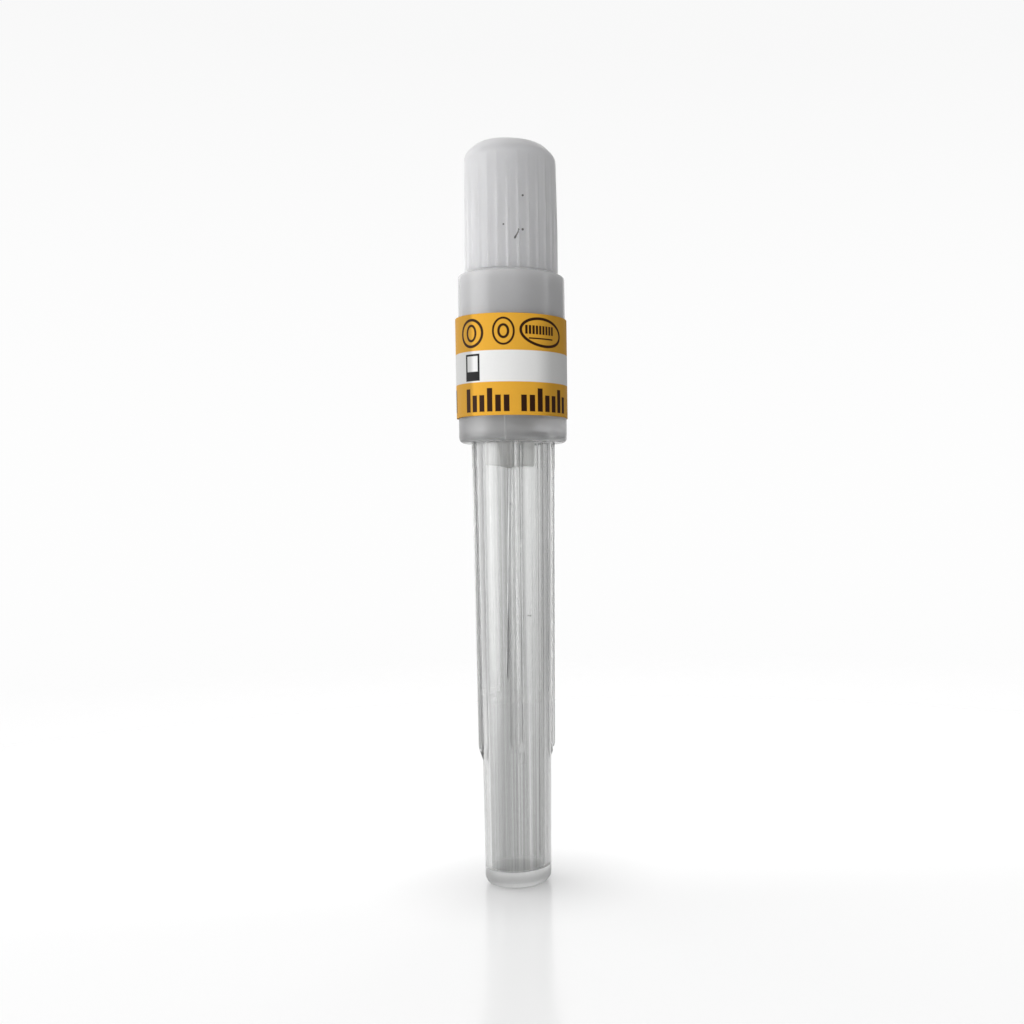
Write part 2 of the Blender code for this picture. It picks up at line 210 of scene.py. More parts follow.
class NeedleSizes(bpy.types.PropertyGroup):
    """Sizes of the hub, the cannula and the bead that bonds them."""

    seat: length("Seat", 57.252 * MM, "Height of the flange's underside")
    lean: turn("Lean", 1.35, "How far the needle leans in its case")
    flange_radius: length("Flange radius", 4.345 * MM, "Outer radius of the flange")
    flange_thickness: length("Flange", 1.0 * MM, "Thickness of the flange")
    hub_length: length("Hub length", 16.9 * MM, "From the flange to the nose")
    skirt_length: length("Skirt length", 8.3 * MM, "Length of the threaded skirt")
    skirt_radius: length("Skirt radius", 3.648 * MM, "Outer radius of the skirt")
    skirt_wall: length("Skirt wall", 0.8 * MM, "Wall of the skirt at the thread's crest")
    floor_rise: length("Floor rise", 0.55 * MM, "Floor of the threaded bore above the cone")
    cone_length: length("Cone length", 3.0 * MM, "Length of the cone")
    cone_radius: length("Cone radius", 1.45 * MM, "Radius at the cone's lower end")
    nose_radius: length("Nose radius", 0.95 * MM, "Radius of the nose")
    nose_wall: length("Nose wall", 0.45 * MM, "Wall around the bead")
    thread_lead: length("Thread lead", 0.3 * MM, "Chamfer at the thread's mouth")
    thread_pitch: length("Thread pitch", 0.8 * MM, "Rise of the thread in one turn")
    thread_depth: length("Thread depth", 0.25 * MM, "Depth of the thread")
    fin_count: count("Fins", 4, "Fins on the nose")
    fin_radius: length("Fin radius", 2.39 * MM, "How far out the fins reach")
    fin_thickness: length("Fin thickness", 0.7 * MM, "Thickness of a fin")
    cannula_radius: length("Cannula radius", 0.15 * MM, "Outer radius of the steel tube")
    cannula_wall: length("Cannula wall", 0.075 * MM, "Wall of the steel tube")
    cannula_reach: length("Reach", 21.6 * MM, "Steel past the hub's nose")
    rear_reach: length("Rear reach", 5.3 * MM, "Steel behind the flange")
    tip_bevel: turn("Tip bevel", 14.0, "Slant of the ground tip")
    rear_bevel: turn("Rear bevel", 30.0, "Slant of the rear end")
    bond: length("Bond gap", 0.02 * MM, "Gap around the steel and the bead")
    bead_depth: length("Bead depth", 1.3 * MM, "Depth of the well in the nose")
    bead_dome: length("Bead dome", 0.15 * MM, "How far the bead stands out")
    edge_break: length("Edge break", 0.1 * MM, "Small round on the edges")


class Finishes(bpy.types.PropertyGroup):
    """Colours of the moulded plastics, the steel and the bead."""

    clear: colour("Clear plastic", (0.66, 0.665, 0.66), "What one wall of the sheath lets through")
    clear_streak: colour("Clear streaks", (0.92, 0.925, 0.92), "Clearer flow lines in the sheath")
    foot: colour("Foot", (0.82, 0.825, 0.82), "The same through the sheath's solid foot")
    collar: colour("Collar", (0.76, 0.76, 0.765), "The same through the sheath's thick collar")
    cap_white: colour("Cap white", (0.95, 0.95, 0.945), "Translucent white of the cap")
    # Painted shade: the skirt's white is darker where less light comes through the cap
    shaded_skirt_white: colour("Skirt white", (0.66, 0.66, 0.655), "The skirt, backed by the clear sheath")
    cap_dirt: colour("Cap dirt", (0.09, 0.085, 0.08), "Specks on the cap")
    natural: colour("Natural plastic", (0.95, 0.95, 0.93), "Undyed plastic of the hub")
    steel: colour("Steel", (0.78, 0.78, 0.79), "Drawn steel of the cannula")
    # Painted dark reflection along the needle's front
    steel_painted_reflection: colour("Steel line", (0.03, 0.03, 0.03), "Dark drawing line along the needle")
    bead: colour("Bead", (0.80, 0.78, 0.68), "Cured adhesive")
    cap_depth: length("Cap depth", 5.5 * MM, "How deep light goes into the cap")
    hub_depth: length("Hub depth", 1.5 * MM, "How deep light goes into the hub")
    clear_through: share("Through the sheath", 0.92, "Share of light that the sheath lets through")
    cap_through: share("Through the cap", 0.18, "Share of light that the cap lets through")
    hub_through: share("Through the hub", 0.7, "Share of light that the hub lets through")
    bead_through: share("Through the bead", 0.6, "Share of light that the bead lets through")
    clear_dull: share("Dull sheath", 0.006, "Roughness of the clear tube")
    collar_dull: share("Dull collar", 0.32, "Roughness that the collar has on top of that")
    foot_dull: share("Dull foot", 0.5, "Roughness that the foot has on top of that")
    cap_dull: share("Dull cap", 0.26, "Roughness of the cap")
    hub_dull: share("Dull hub", 0.28, "Roughness of the hub")
    steel_dull: share("Dull steel", 0.2, "Roughness of the cannula")
    bead_dull: share("Dull bead", 0.08, "Roughness of the bead")
    paper_dull: share("Dull paper", 0.5, "Roughness of the label")


class StageSizes(bpy.types.PropertyGroup):
    """Camera, floor and light."""

    lens: bpy.props.FloatProperty(name="Lens", description="Focal length in millimetres",
                                  default=43.41, unit="CAMERA")
    distance: length("Distance", 125.0 * MM, "From the camera to the case's axis")
    eye_height: length("Eye height", 36.85 * MM, "Height of the camera")
    aside: length("Aside", 0.23 * MM, "How far left of the axis the camera stands")
    roll: turn("Roll", 0.71, "Roll of the camera")
    yaw: turn("Yaw", 9.0, "How far the camera looks to the case's right")
    floor_radius: length("Floor radius", 600.0 * MM, "Radius of the floor")
    floor_colour: colour("Floor", (0.85, 0.85, 0.85), "Colour of the floor")
    floor_dull: share("Floor roughness", 0.16, "Roughness of the floor")
    floor_glow: brightness("Floor glow", 0.27, "Light that the floor adds to what is seen of it")
    surroundings: brightness("Surroundings", 0.985, "White of the surroundings at eye level")
    room: brightness("Room", 0.36, "Light from all around")
    room_through: brightness("Room through plastic", 0.6, "The same, seen through clear plastic")
    room_left: brightness("Room behind the panel", 1.35, "Light from the left, behind the panel")
    strip: brightness("Strip", 1.7, "Light of the narrow strip on the right")
    strip_turn: turn("Strip turn", 80.0, "Turn of the strip from the front")
    strip_half: turn("Strip half width", 5.0, "Half the strip's width as seen from the case")
    strip_rise: share("Strip rise", 0.36, "Rise of the strip's ends above level")
    backdrop_half: turn("Backdrop half width", 30.0, "Half of the bright backdrop's width")
    panel: brightness("Panel", 4.3, "Brightness of the left panel")
    panel_turn: turn("Panel turn", -76.0, "Middle of the panel, from the viewer's side")
    panel_half: turn("Panel half width", 22.0, "Half of the panel's width")
    panel_rise: share("Panel rise", 0.32, "Sine of the panel's upper edge")
    panel_spread: share("Panel spread", 0.45, "How much of the panel dull surfaces catch")
    fill: brightness("Fill", 0.84, "Brightness of the soft light in front")
    fill_turn: turn("Fill turn", -20.0, "Middle of the soft light in front")
    fill_half: turn("Fill half width", 42.0, "Half of that light's width")
    fill_rise: share("Fill rise", 0.7, "Sine of that light's upper edge")


def overloaded(operation):
    """An operator and its reflected form, which both add one Math node."""
    def forward(left, right):
        return left.maths(operation, left, right)

    def reflected(right, left):
        return right.maths(operation, left, right)

    return forward, reflected


class Field:
    """A number that varies over a surface; sums on it add Math nodes."""

    def __init__(self, nodes, socket):
        self.nodes = nodes
        self.socket = socket

    def maths(self, operation, *terms):
        """The result of one Math node."""
        node = self.nodes.add("ShaderNodeMath", {"operation": operation}, dict(enumerate(terms)))
        return Field(self.nodes, node.outputs[0])

    def __abs__(self):
        return self.maths("ABSOLUTE", self)

    __add__, __radd__ = overloaded("ADD")
    __sub__, __rsub__ = overloaded("SUBTRACT")
    __mul__, __rmul__ = overloaded("MULTIPLY")
    __truediv__, __rtruediv__ = overloaded("DIVIDE")
    __pow__, __rpow__ = overloaded("POWER")


class Nodes:
    """The nodes of one material or world."""

    def __init__(self, owner):
        owner.use_nodes = True
        self.tree = owner.node_tree
        self.tree.nodes.clear()

    def add(self, kind, settings, inputs):
        """Add a node, with its settings first and then the values or links of its sockets."""
        node = self.tree.nodes.new(kind)
        for name, value in settings.items():
            setattr(node, name, value)
        for key, value in inputs.items():
            if isinstance(value, Field):
                self.tree.links.new(value.socket, node.inputs[key])
            elif isinstance(value, bpy.types.NodeSocket):
                self.tree.links.new(value, node.inputs[key])
            else:
                node.inputs[key].default_value = value
        return node

    def split(self, vector):
        """The three parts of a vector as fields."""
        parts = self.add("ShaderNodeSeparateXYZ", {}, {0: vector}).outputs
        return [Field(self, part) for part in parts]

    def place(self, kind="Object"):
        """Where the surface point is."""
        return self.add("ShaderNodeTexCoord", {}, {}).outputs[kind]

    def stretched(self, vector, scale):
        """A vector scaled along each axis."""
        settings = {"operation": "MULTIPLY"}
        return self.add("ShaderNodeVectorMath", settings, {0: vector, 1: scale}).outputs[0]

    def noise(self, vector, scale, detail=2.0):
        """Smooth noise around a half."""
        inputs = {"Vector": vector, "Scale": scale, "Detail": detail}
        return Field(self, self.add("ShaderNodeTexNoise", {}, inputs).outputs[0])

    def step(self, field, low, high):
        """Eases from nothing at low to one at high."""
        settings = {"interpolation_type": "SMOOTHSTEP"}
        inputs = {0: field, 1: low, 2: high, 3: 0.0, 4: 1.0}
        return Field(self, self.add("ShaderNodeMapRange", settings, inputs).outputs[0])

    def between(self, field, low, high, soft):
        """One between low and high, with soft edges."""
        rising = self.step(field, low - soft, low + soft)
        falling = self.step(field, high - soft, high + soft)
        return rising * (1.0 - falling)

    def mix(self, factor, first, second):
        """A colour between two."""
        inputs = {MIX_FACTOR: factor, MIX_A: solid(first), MIX_B: solid(second)}
        return self.add("ShaderNodeMix", {"data_type": "RGBA"}, inputs).outputs[MIX_RESULT]

    def bump(self, height, distance, strength=1.0):
        """A normal bent by a height."""
        inputs = {"Height": height, "Distance": distance, "Strength": strength}
        return self.add("ShaderNodeBump", {}, inputs).outputs[0]

    def surface(self, inputs):
        """Close the material with a Principled shader."""
        shader = self.add("ShaderNodeBsdfPrincipled", {}, inputs)
        self.output(shader.outputs[0])

    def output(self, shader, kind="ShaderNodeOutputMaterial"):
        """Link a shader to the output."""
        self.add(kind, {}, {0: shader})


def solid(value):
    """A colour with its alpha, or a socket as it is."""
    if isinstance(value, (bpy.types.NodeSocket, Field)):
        return value
    return (*value, 1.0)


def dimmed(value, part):
    """A colour with only a part of its light."""
    return tuple(channel * part for channel in value)


def on_line(start, end, part):
    """The value a part of the way from start to end."""
    return start + (end - start) * part


def eased(value):
    """Smooth step from nothing at 0 to one at 1."""
    value = max(0.0, min(1.0, value))
    return value * value * (3.0 - 2.0 * value)


def rounded(corners):
    """Turn (radius, height, round) corners into an outline, each round cut as an arc."""
    outline = []
    for index, (radius, height, size) in enumerate(corners):
        if not size:
            outline.append((radius, height))
            continue
        here = complex(radius, height)
        before = complex(*corners[index - 1][:2]) - here
        after = complex(*corners[(index + 1) % len(corners)][:2]) - here
        before /= abs(before)
        after /= abs(after)
        half = math.acos(max(-1.0, min(1.0, (before * after.conjugate()).real))) / 2
        middle = (before + after) / abs(before + after)
        centre = here + middle * size / math.sin(half)
        first = here + before * size / math.tan(half) - centre
        last = here + after * size / math.tan(half) - centre
        swing = math.atan2((last * first.conjugate()).imag, (last * first.conjugate()).real)
        for step in range(ROUND_STEPS + 1):
            angle = swing * step / ROUND_STEPS
            point = centre + first * complex(math.cos(angle), math.sin(angle))
            outline.append((point.real, point.imag))
    return outline


def ringed(outline, closed=False):
    """Add rings along an outline's straights, close to their ends and at even steps between."""
    ringed_outline = []
    runs = list(zip(outline, outline[1:]))
    if closed:
        runs.append((outline[-1], outline[0]))
    for start, end in runs:
        run = math.dist(start, end)
        shares = [0.0]
        if run > 4 * HOLD:
            steps = max(1, math.ceil(run / RING_STEP))
            shares += [HOLD / run] + [step / steps for step in range(1, steps)] + [1 - HOLD / run]
        for part in shares:
            point = (on_line(start[0], end[0], part), on_line(start[1], end[1], part))
            ringed_outline.append(point)
    if not closed:
        ringed_outline.append(outline[-1])
    return ringed_outline


def featured_angles(number, phase, width, fine, coarse):
    """Angles round a piece, fine across each of a number of features and coarse between them."""
    angles = []
    sector = math.tau / number
    for index in range(number):
        middle = phase - math.pi / 2 + index * sector
        for step in range(fine):
            angles.append(middle - width / 2 + width * step / fine)
        for step in range(coarse):
            angles.append(middle + width / 2 + (sector - width) * step / coarse)
    return angles


def even_angles(number):
    """Angles at even steps round a piece."""
    return [math.tau * index / number for index in range(number)]


def lofted(outline, angles, relief=None, closed=False):
    """Turn an outline of (radius, height) round +Z, with each point lifted by a relief."""
    mesh = bmesh.new()
    rings = []
    for radius, height in outline:
        if radius < TINY:
            rings.append([mesh.verts.new((0.0, 0.0, height))])
            continue
        ring = []
        for angle in angles:
            lifted = radius + (relief(radius, height, angle) if relief else 0.0)
            place = (lifted * math.cos(angle), lifted * math.sin(angle), height)
            ring.append(mesh.verts.new(place))
        rings.append(ring)
    pairs = list(zip(rings, rings[1:]))
    if closed:
        pairs.append((rings[-1], rings[0]))
    for low, high in pairs:
        for index in range(len(angles)):
            after = (index + 1) % len(angles)
            around = [low[index % len(low)], low[after % len(low)],
                      high[after % len(high)], high[index % len(high)]]
            mesh.faces.new(dict.fromkeys(around))
    return mesh


def meshed(mesh, name):
    """The named mesh that a bmesh becomes."""
    data = bpy.data.meshes.new(name)
    mesh.to_mesh(data)
    mesh.free()
    return data


def linked(data, name):
    """A named object of a mesh or a camera, linked to the scene."""
    made = bpy.data.objects.new(name, data)
    bpy.context.scene.collection.objects.link(made)
    return made


def finished(mesh, name, skin, body, nodes):
    """Make a named piece of a bmesh, shade it, dress it and hand it to the frame."""
    bmesh.ops.recalc_face_normals(mesh, faces=mesh.faces)
    return dressed(meshed(mesh, name), name, skin, body, nodes)


def dressed(data, name, skin, body, nodes):
    """Make a named piece of a mesh, shade it, dress it and hand it to the frame."""
    data.shade_smooth()
    data.set_sharp_from_angle(angle=SHARP_ANGLE)
    data.materials.clear()
    data.materials.append(skin)
    piece = linked(data, name)
    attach(piece, body)
    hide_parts(*nodes)
    return piece


def evaluated(mesh, name, add_modifiers):
    """The mesh that a bmesh becomes under modifiers."""
    holder = linked(meshed(mesh, name), name)
    add_modifiers(holder)
    depsgraph = bpy.context.evaluated_depsgraph_get()
    made = bpy.data.meshes.new_from_object(holder.evaluated_get(depsgraph))
    bpy.data.objects.remove(holder)
    return made


def around_case(nodes):
    """Turn from the front in radians, and height in millimetres, of a surface point."""
    x, y, z = nodes.split(nodes.place())
    angle = x.maths("ARCTAN2", x, 0.0 - y)
    return angle, z / MM


def along_walls(nodes, around, rise):
    """A vector that follows a round wall: the turn about the axis, and the height."""
    x, y, z = nodes.split(nodes.place())
    away = (x * x + y * y) ** 0.5
    away = away.maths("MAXIMUM", away, TINY)
    parts = {0: x / away * around, 1: y / away * around, 2: z * rise}
    return nodes.add("ShaderNodeCombineXYZ", {}, parts).outputs[0]


def stripe(nodes, angle, start, end, soft):
    """A stripe up a wall from one turn to another; all in degrees."""
    return nodes.between(angle, math.radians(start), math.radians(end), math.radians(soft))


# A speck is full out to this many of its widths, and gone at that many
SPECK_CORE = 0.5
SPECK_RIM = 1.2


def specks_on(nodes, angle, height, specks, radius):
    """Round specks on a wall: turn in degrees, height and width in millimetres."""
    shown = 0.0
    for turned, high, width in specks:
        across = (angle - math.radians(turned)) * (radius / MM)
        along = height - high
        away = (across * across + along * along) ** 0.5
        shown = 1.0 - nodes.step(away, width * SPECK_CORE, width * SPECK_RIM) + shown
    return shown


# Noise cells per metre, or per metre along X, Y and Z
SHEATH_CLOUDS = (260.0, 260.0, 120.0)
CAP_CLOUDS = (320.0, 320.0, 160.0)
CAP_GRAIN = 9000.0
HUB_CLOUDS = 700.0
HUB_GRAIN = 7000.0
DRAWN_MARKS = (30000.0, 30000.0, 400.0)
BEAD_CLOUDS = 2500.0
PAPER_FIBRES = 5200.0
PAPER_GRAIN = 1800.0

# What the plastics share
PLASTIC_IOR = 1.5
SCATTER = (1.0, 1.0, 0.95)

# Specks in the clear sheath, and the light that they let through
SHEATH_SPECKS = (
    (23.7, 26.7, 0.1), (-5.1, 37.63, 0.06), (35.2, 25.79, 0.06), (32.5, 22.38, 0.07),
)
SPECK_WALL = 3.6 * MM
SPECK_LIGHT = 0.03

# Lines along the tube: turn in degrees, and the height in millimetres where each starts
MOULD_LINES = ((2.9, 14.0), (9.4, 14.0), (45.5, 3.0))
MOULD_LINE_HALF = 0.5
MOULD_LINE_LEAD = 0.5

# Turns in degrees from start to end: the collar's parting line, a band of painted highlight up the
# tube, and the edge of the painted shade on the collar's left side
PARTING_LINE = (-9.5, -7.9)
PAINTED_HIGHLIGHT_BAND = (19.5, 27.0)
PAINTED_SHADE_SIDE = (-65.0, -50.0)

# Heights in millimetres from start to end: where the dull foot ends, and where the darkening
# towards the foot fades out; the collar's finish starts this far either side of its foot
FOOT_END = (1.3, 2.2)
DARKENING_END = (2.0, 42.0)
COLLAR_EDGE = 0.2

# Shares of black or white mixed into the sheath, among them a painted highlight band and painted
# shade on the collar, and the noise values where a streak begins
SMOKE = 0.04
FOOT_DARKENING = 0.16
COLLAR_PAINTED_SHADE = 0.4
PAINTED_HIGHLIGHT_SHARE = 0.6
STREAK_EDGE = (0.45, 0.55)

# Relief of the clear sheath, and how many of it each kind of line stands out
SHEATH_RELIEF = 0.016 * MM
FLOW_RELIEF = 0.15
SEAM_RELIEF = 2.0
LINE_RELIEF = 3.0


def clear_plastic(look, sizes):
    """Moulded clear plastic with faint flow lines along the tube."""
    skin = bpy.data.materials.new("clear_plastic")
    nodes = Nodes(skin)
    flow = nodes.noise(along_walls(nodes, around=14.0, rise=8.0), 1.0, detail=4.0)
    cloud = nodes.noise(nodes.stretched(nodes.place(), SHEATH_CLOUDS), 1.0)
    angle, height = around_case(nodes)
    collar_foot = sizes.tube_length / MM
    collar = nodes.step(height, collar_foot - COLLAR_EDGE, collar_foot + COLLAR_EDGE)
    foot = 1.0 - nodes.step(height, *FOOT_END)
    seam = collar * stripe(nodes, angle, *PARTING_LINE, soft=0.4)
    lines = 0.0
    for turned, lowest in MOULD_LINES:
        line = stripe(nodes, angle, turned - MOULD_LINE_HALF, turned + MOULD_LINE_HALF, soft=0.7)
        lines = lines + line * nodes.step(height, lowest, lowest + MOULD_LINE_LEAD)
    tint = nodes.mix(nodes.step(flow, *STREAK_EDGE), look.clear, look.clear_streak)
    # The tube's tint grows darker towards the foot
    low = 1.0 - nodes.step(height, *DARKENING_END)
    tint = nodes.mix(SMOKE + FOOT_DARKENING * low, tint, BLACK)
    # Painted highlight: a band up the tube is mixed towards white
    painted_highlight = stripe(nodes, angle, *PAINTED_HIGHLIGHT_BAND, soft=1.0)
    tint = nodes.mix(painted_highlight * PAINTED_HIGHLIGHT_SHARE, tint, WHITE)
    tint = nodes.mix(foot, tint, look.foot)
    # Painted shade: the collar's left side is mixed towards black
    painted_shade_side = 1.0 - nodes.step(angle, *map(math.radians, PAINTED_SHADE_SIDE))
    collar_tint_and_shade = nodes.mix(painted_shade_side * COLLAR_PAINTED_SHADE, look.collar, BLACK)
    tint = nodes.mix(collar, tint, collar_tint_and_shade)
    tint = nodes.mix(seam, tint, WHITE)
    specks = specks_on(nodes, angle, height, SHEATH_SPECKS, SPECK_WALL)
    relief = FLOW_RELIEF * flow + SEAM_RELIEF * seam + LINE_RELIEF * lines * (1.0 - collar)
    dullness = look.clear_dull + 0.01 * cloud
    nodes.surface({
        "Base Color": nodes.mix(specks, tint, dimmed(look.clear, SPECK_LIGHT)),
        "Roughness": dullness + look.collar_dull * collar + look.foot_dull * foot,
        "IOR": PLASTIC_IOR,
        "Transmission Weight": look.clear_through,
        "Normal": nodes.bump(relief, SHEATH_RELIEF),
    })
    return skin


# Specks on the cap
CAP_SPECKS = (
    (15.0, 67.46, 0.12), (-9.1, 64.61, 0.1), (14.5, 64.17, 0.14), (9.2, 64.12, 0.09),
    (8.7, 63.95, 0.08), (8.1, 63.82, 0.08), (7.4, 63.7, 0.08), (6.7, 63.6, 0.08),
    (5.9, 63.5, 0.09), (5.2, 63.4, 0.11), (4.7, 63.32, 0.1),
)


def white_plastic(look, sizes):
    """Translucent white plastic with a satin skin and a few dark specks, with painted shade on the
    skirt.
    """
    skin = bpy.data.materials.new("white_plastic")
    nodes = Nodes(skin)
    place = nodes.place()
    cloud = nodes.noise(nodes.stretched(place, CAP_CLOUDS), 1.0, detail=3.0)
    angle, height = around_case(nodes)
    shoulder = (sizes.top - sizes.grip_height) / MM
    skirt = 1.0 - nodes.step(height, shoulder - sizes.edge_break / MM,
                             shoulder + sizes.shoulder_rise / MM)
    # Painted shade: the skirt takes the darker white
    white = nodes.mix(skirt, look.cap_white, look.shaded_skirt_white)
    dull = nodes.mix(skirt, dimmed(look.cap_white, 0.95), dimmed(look.shaded_skirt_white, 0.9))
    specks = specks_on(nodes, angle, height, CAP_SPECKS, sizes.grip_foot_radius)
    nodes.surface({
        "Base Color": nodes.mix(specks, nodes.mix(cloud, white, dull), look.cap_dirt),
        "Roughness": look.cap_dull + 0.1 * cloud - 0.1 * skirt,
        "IOR": PLASTIC_IOR,
        "Subsurface Weight": 1.0,
        "Subsurface Radius": SCATTER,
        "Subsurface Scale": look.cap_depth,
        "Transmission Weight": look.cap_through,
        "Normal": nodes.bump(nodes.noise(place, CAP_GRAIN), 0.004 * MM, strength=0.4),
    })
    return skin


def natural_plastic(look):
    """Undyed translucent plastic with a satin skin."""
    skin = bpy.data.materials.new("natural_plastic")
    nodes = Nodes(skin)
    place = nodes.place()
    cloud = nodes.noise(place, HUB_CLOUDS, detail=3.0)
    nodes.surface({
        "Base Color": nodes.mix(cloud, look.natural, dimmed(look.natural, 0.95)),
        "Roughness": look.hub_dull + 0.14 * cloud,
        "IOR": PLASTIC_IOR,
        "Subsurface Weight": 0.4,
        "Subsurface Radius": SCATTER,
        "Subsurface Scale": look.hub_depth,
        "Transmission Weight": look.hub_through,
        "Normal": nodes.bump(nodes.noise(place, HUB_GRAIN), 0.005 * MM, strength=0.5),
    })
    return skin


# A painted dark reflection shows where the wall's normal points to the front and no further
# sideways than the reach, and it fades out between two heights in millimetres
LINE_REACH = 0.5
LINE_SOFT = 0.1
LINE_END = (25.5, 28.5)


def cannula_steel(look):
    """Drawn steel with fine marks along the tube, and a painted dark reflection along its front."""
    skin = bpy.data.materials.new("cannula_steel")
    nodes = Nodes(skin)
    drawn = nodes.noise(nodes.stretched(nodes.place(), DRAWN_MARKS), 1.0, detail=3.0)
    height = nodes.split(nodes.place())[2] / MM
    normal = nodes.add("ShaderNodeNewGeometry", {}, {}).outputs["Normal"]
    sideways, backwards, _ = nodes.split(normal)
    front = nodes.step(backwards, LINE_SOFT, -LINE_SOFT)
    # Painted dark reflection, fading out up the needle
    line = nodes.between(sideways, -LINE_REACH, LINE_REACH, LINE_SOFT) * front
    line = line * (1.0 - nodes.step(height, *LINE_END))
    steel = nodes.mix(drawn, look.steel, dimmed(look.steel, 0.86))
    nodes.surface({
        "Base Color": nodes.mix(line, steel, look.steel_painted_reflection),
        "Metallic": 1.0,
        "Roughness": look.steel_dull + 0.16 * drawn,
        "Normal": nodes.bump(drawn, 0.002 * MM, strength=0.6),
    })
    return skin


def cured_adhesive(look):
    """Clear cured bead with a wet gloss."""
    skin = bpy.data.materials.new("adhesive")
    nodes = Nodes(skin)
    cloud = nodes.noise(nodes.place(), BEAD_CLOUDS)
    nodes.surface({
        "Base Color": nodes.mix(cloud, look.bead, dimmed(look.bead, 0.9)),
        "Roughness": look.bead_dull + 0.1 * cloud,
        "IOR": PLASTIC_IOR,
        "Transmission Weight": look.bead_through,
        "Normal": nodes.bump(cloud, 0.01 * MM, strength=0.5),
    })
    return skin


# On the label, lengths are in millimetres: along it from the front, and up it from its lower edge
PRINT_EDGE = 0.03

# Painted shade darkens the paper on the lap up to here, and on the side that turns away from the
# light, from start to end
LAP_END = (-4.5, -3.9)
LAP_PAINTED_SHADE = 0.35
FAR_SIDE = (2.0, 4.4)
FAR_PAINTED_SHADE = 0.34


def label_paper(look, sizes):
    """Coated paper printed in amber, white and amber, with plain marks in dark ink."""
    skin = bpy.data.materials.new("label_paper")
    nodes = Nodes(skin)
    place = nodes.place()
    angle, height = around_case(nodes)
    along = angle * ((sizes.radius + sizes.thickness) / MM)
    up = height - sizes.foot / MM
    white_start = sizes.white_start / MM
    white_end = white_start + sizes.white_height / MM
    white_band = nodes.between(up, white_start, white_end, PRINT_EDGE)
    fibre = nodes.noise(place, PAPER_FIBRES, detail=4.0)
    amber = nodes.mix(fibre, sizes.amber, dimmed(sizes.amber, 0.93))
    white = nodes.mix(fibre, sizes.white, dimmed(sizes.white, 0.96))
    paper = nodes.mix(white_band, amber, white)
    lap_shade = 1.0 - nodes.step(along, *LAP_END)
    far_side_shade = nodes.step(along, *FAR_SIDE)
    # Painted shade on the lap and on the side away from the light
    paper = nodes.mix(lap_shade * LAP_PAINTED_SHADE + far_side_shade * FAR_PAINTED_SHADE, paper, BLACK)
    brown = printed_signs(nodes, along, up) + stroke_row(nodes, along, up)
    paper = nodes.mix(brown, paper, sizes.brown)
    paper = nodes.mix(black_mark(nodes, along, up), paper, sizes.black)
    grain = nodes.noise(place, PAPER_GRAIN, detail=3.0)
    nodes.surface({
        "Base Color": paper,
        "Roughness": look.paper_dull + 0.1 * fibre,
        "IOR": PLASTIC_IOR,
        "Specular IOR Level": 0.1,
        "Normal": nodes.bump(grain, 0.01 * MM, strength=0.35),
    })
    return skin


def hoop(nodes, along, up, middle, half, tilt, line):
    """An oval line round a middle, with its half sizes, its tilt in degrees and its width."""
    tilt = math.radians(tilt)
    across = along - middle[0]
    rise = up - middle[1]
    slid = across * math.cos(tilt) + rise * math.sin(tilt)
    lifted = rise * math.cos(tilt) - across * math.sin(tilt)
    away = ((slid / half[0]) * (slid / half[0]) + (lifted / half[1]) * (lifted / half[1])) ** 0.5
    across = slid / half[0] ** 2
    rise = lifted / half[1] ** 2
    gap = abs(away - 1.0) * away / (across * across + rise * rise) ** 0.5
    return 1.0 - nodes.step(gap, line / 2 - PRINT_EDGE, line / 2 + PRINT_EDGE)


def bar(nodes, along, up, start, end, foot, top):
    """A filled bar from start to end and from foot to top."""
    across = nodes.between(along, start, end, PRINT_EDGE)
    return across * nodes.between(up, foot, top, PRINT_EDGE)


# Oval lines on the upper amber band: middle, half sizes, tilt in degrees and width of the line
HOOPS = (
    ((-4.25, 7.95), (1.28, 1.28), 0.0, 0.27),
    ((-4.25, 7.95), (0.52, 0.74), 0.0, 0.24),
    ((-0.85, 8.05), (1.0, 1.25), 0.0, 0.2),
    ((-0.85, 8.05), (0.46, 0.6), 0.0, 0.24),
    ((3.1, 8.0), (2.3, 1.3), -7.0, 0.27),
)

# Bars from start to end and from foot to top
TICKS = (1.2, 4.44, 7.8, 8.65)
TICKS_LINE = (1.6, 4.3, 7.33, 7.47)
MARK = (-5.05, -3.3, 3.35, 5.95)
MARK_HOLLOW = (-4.83, -3.52, 4.25, 5.75)
WRAPPED_STROKE = (-8.6, -7.4, 0.5, 2.75)

# Steps of the ticks and the strokes, and the shares of a step that their ink fills
TICK_PITCH = 0.36
TICK_INK = (0.12, 0.8)
STROKE_PITCH = 0.83
STROKE_INK = (0.14, 0.8)

# The row of strokes: where it starts, the heights of its foot and tops, and its two groups
STROKES_START = -5.15
STROKES_FOOT = 0.35
SHORT_TOP = 1.95
TALL_MORE = 0.65
STROKE_GROUPS = ((0, 5), (7, 13))


def printed_signs(nodes, along, up):
    """Plain signs on the upper amber band: two hoops and an oval around simple bars."""
    signs = 0.0
    for middle, half, tilt, line in HOOPS:
        signs = signs + hoop(nodes, along, up, middle, half, tilt, line)
    beat = (along - TICKS[0]) / TICK_PITCH
    ticks = nodes.between(beat - beat.maths("FLOOR", beat), *TICK_INK, soft=0.06)
    signs = signs + ticks * bar(nodes, along, up, *TICKS)
    return signs + bar(nodes, along, up, *TICKS_LINE)


def black_mark(nodes, along, up):
    """A plain block under an empty frame on the white band."""
    return bar(nodes, along, up, *MARK) * (1.0 - bar(nodes, along, up, *MARK_HOLLOW))


